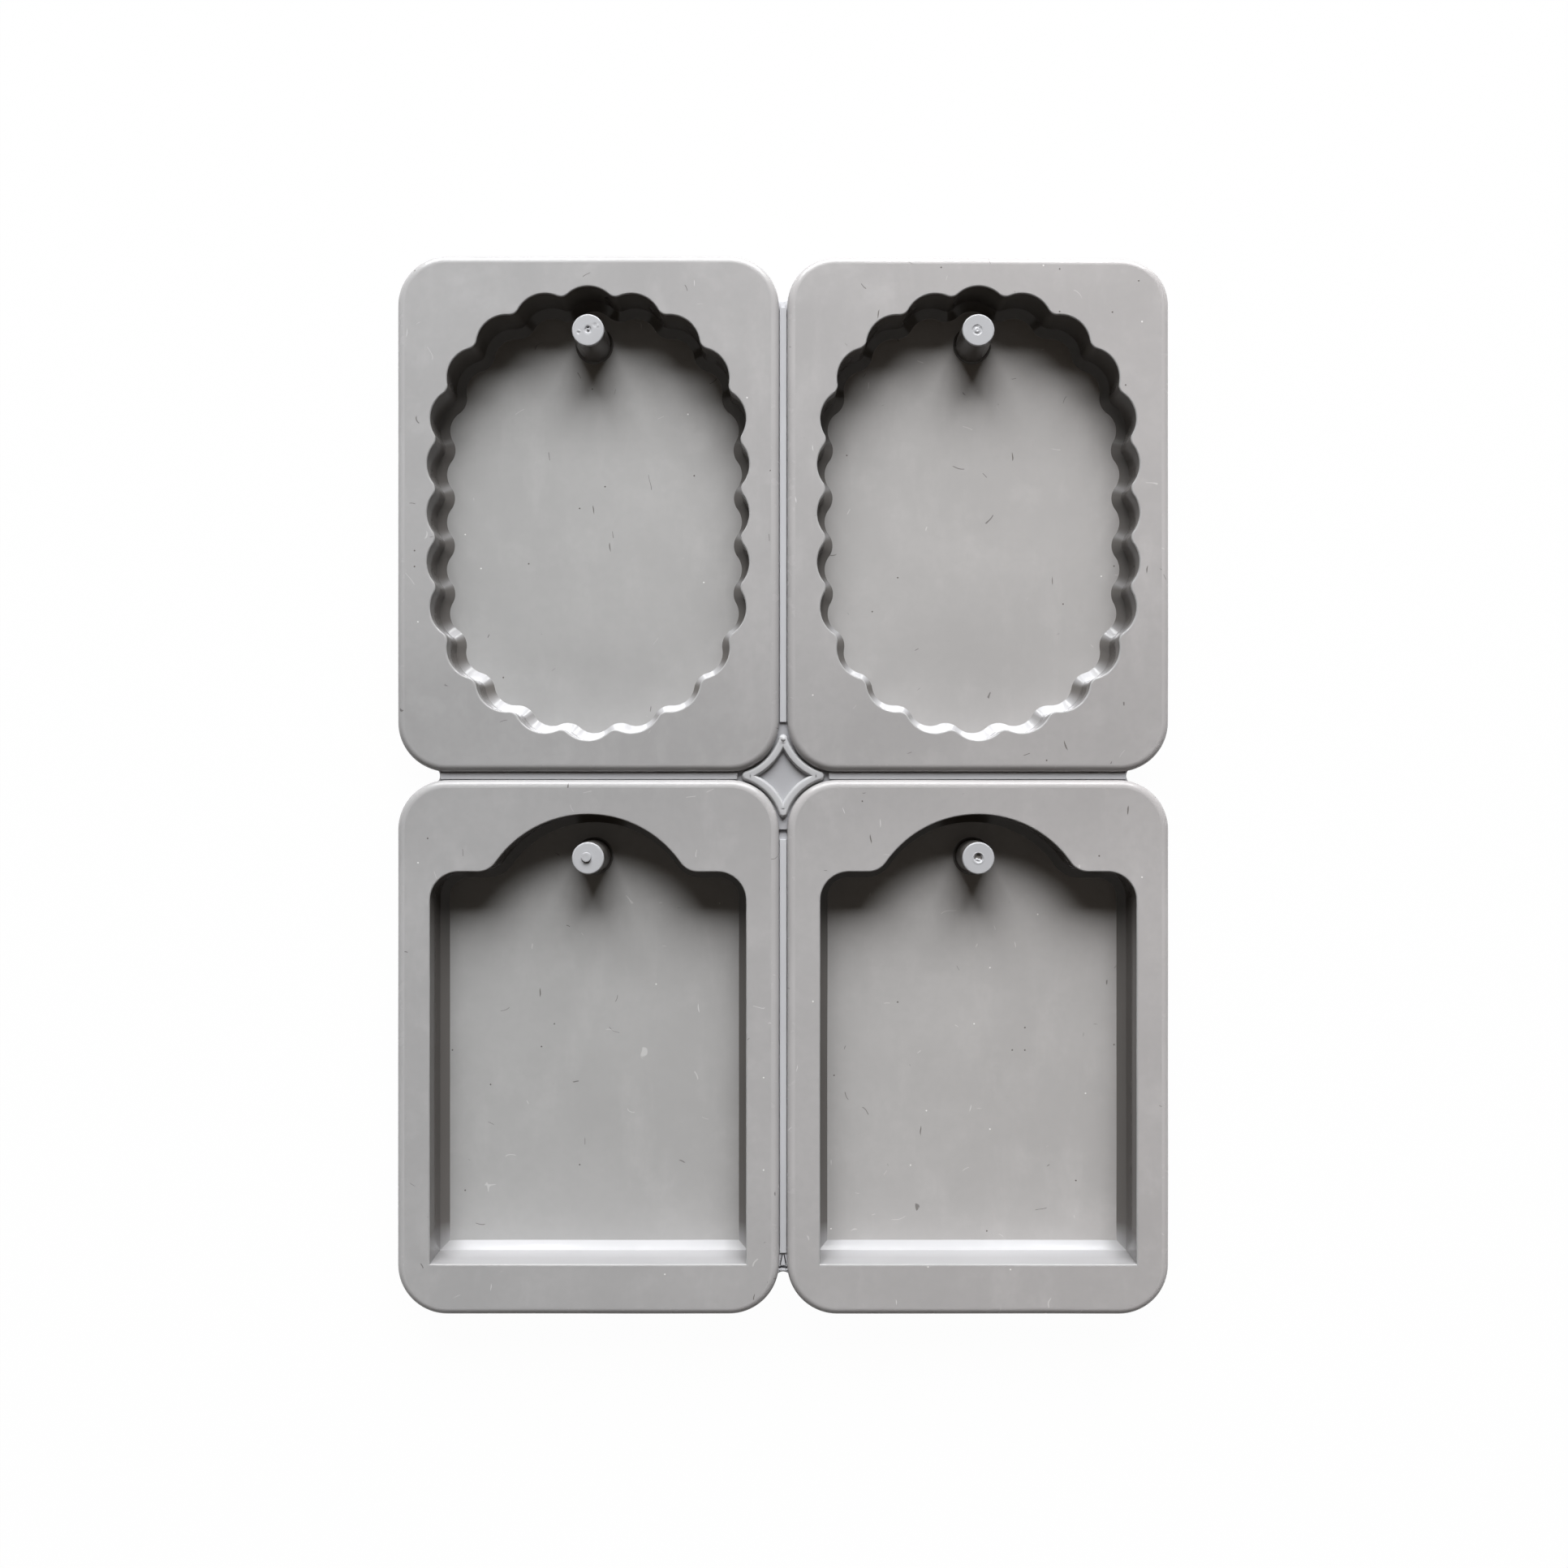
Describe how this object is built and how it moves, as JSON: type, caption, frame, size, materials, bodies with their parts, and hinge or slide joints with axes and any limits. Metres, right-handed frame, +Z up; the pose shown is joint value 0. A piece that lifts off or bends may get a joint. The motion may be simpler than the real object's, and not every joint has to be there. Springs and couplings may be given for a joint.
{
  "type": "silicone resin mould",
  "caption": "Flexible silicone casting mould: scalloped oval and round-headed tablet trays with hole pins, joined by thin webs that bend.",
  "frame": {"origin": "centre of the footprint on the resting plane, under the flat undersides of the trays", "axes": "+X to the right and +Y towards the oval trays as the cavities are looked into; +Z up, out of the cavities"},
  "size_m": [0.178, 0.2442, 0.0156],
  "materials": {
    "silicone": "satin grey cast silicone"
  },
  "bodies": {
    "left_half": {"oval_tray_left": "silicone", "arched_tray_left": "silicone", "oval_pin_left": "silicone", "arched_pin_left": "silicone", "left_web": "silicone", "left_strip": "silicone", "upper_web": "silicone", "lower_web": "silicone", "upper_strip": "silicone", "lower_strip": "silicone", "star_web": "silicone", "star_rib": "silicone"},
    "right_half": {"oval_tray_right": "silicone", "arched_tray_right": "silicone", "oval_pin_right": "silicone", "arched_pin_right": "silicone", "right_web": "silicone", "right_strip": "silicone"}
  },
  "joints": [
    {"name": "long_fold", "type": "hinge", "parent": "left_half", "child": "right_half", "pos_m": [0, 0, 0.01075], "axis": [0, -1, 0], "range_deg": [-14, 32], "stiffness_Nm_per_rad": 0.15, "deforming": ["upper_web", "lower_web", "upper_strip", "lower_strip", "star_web", "star_rib"]}
  ]
}
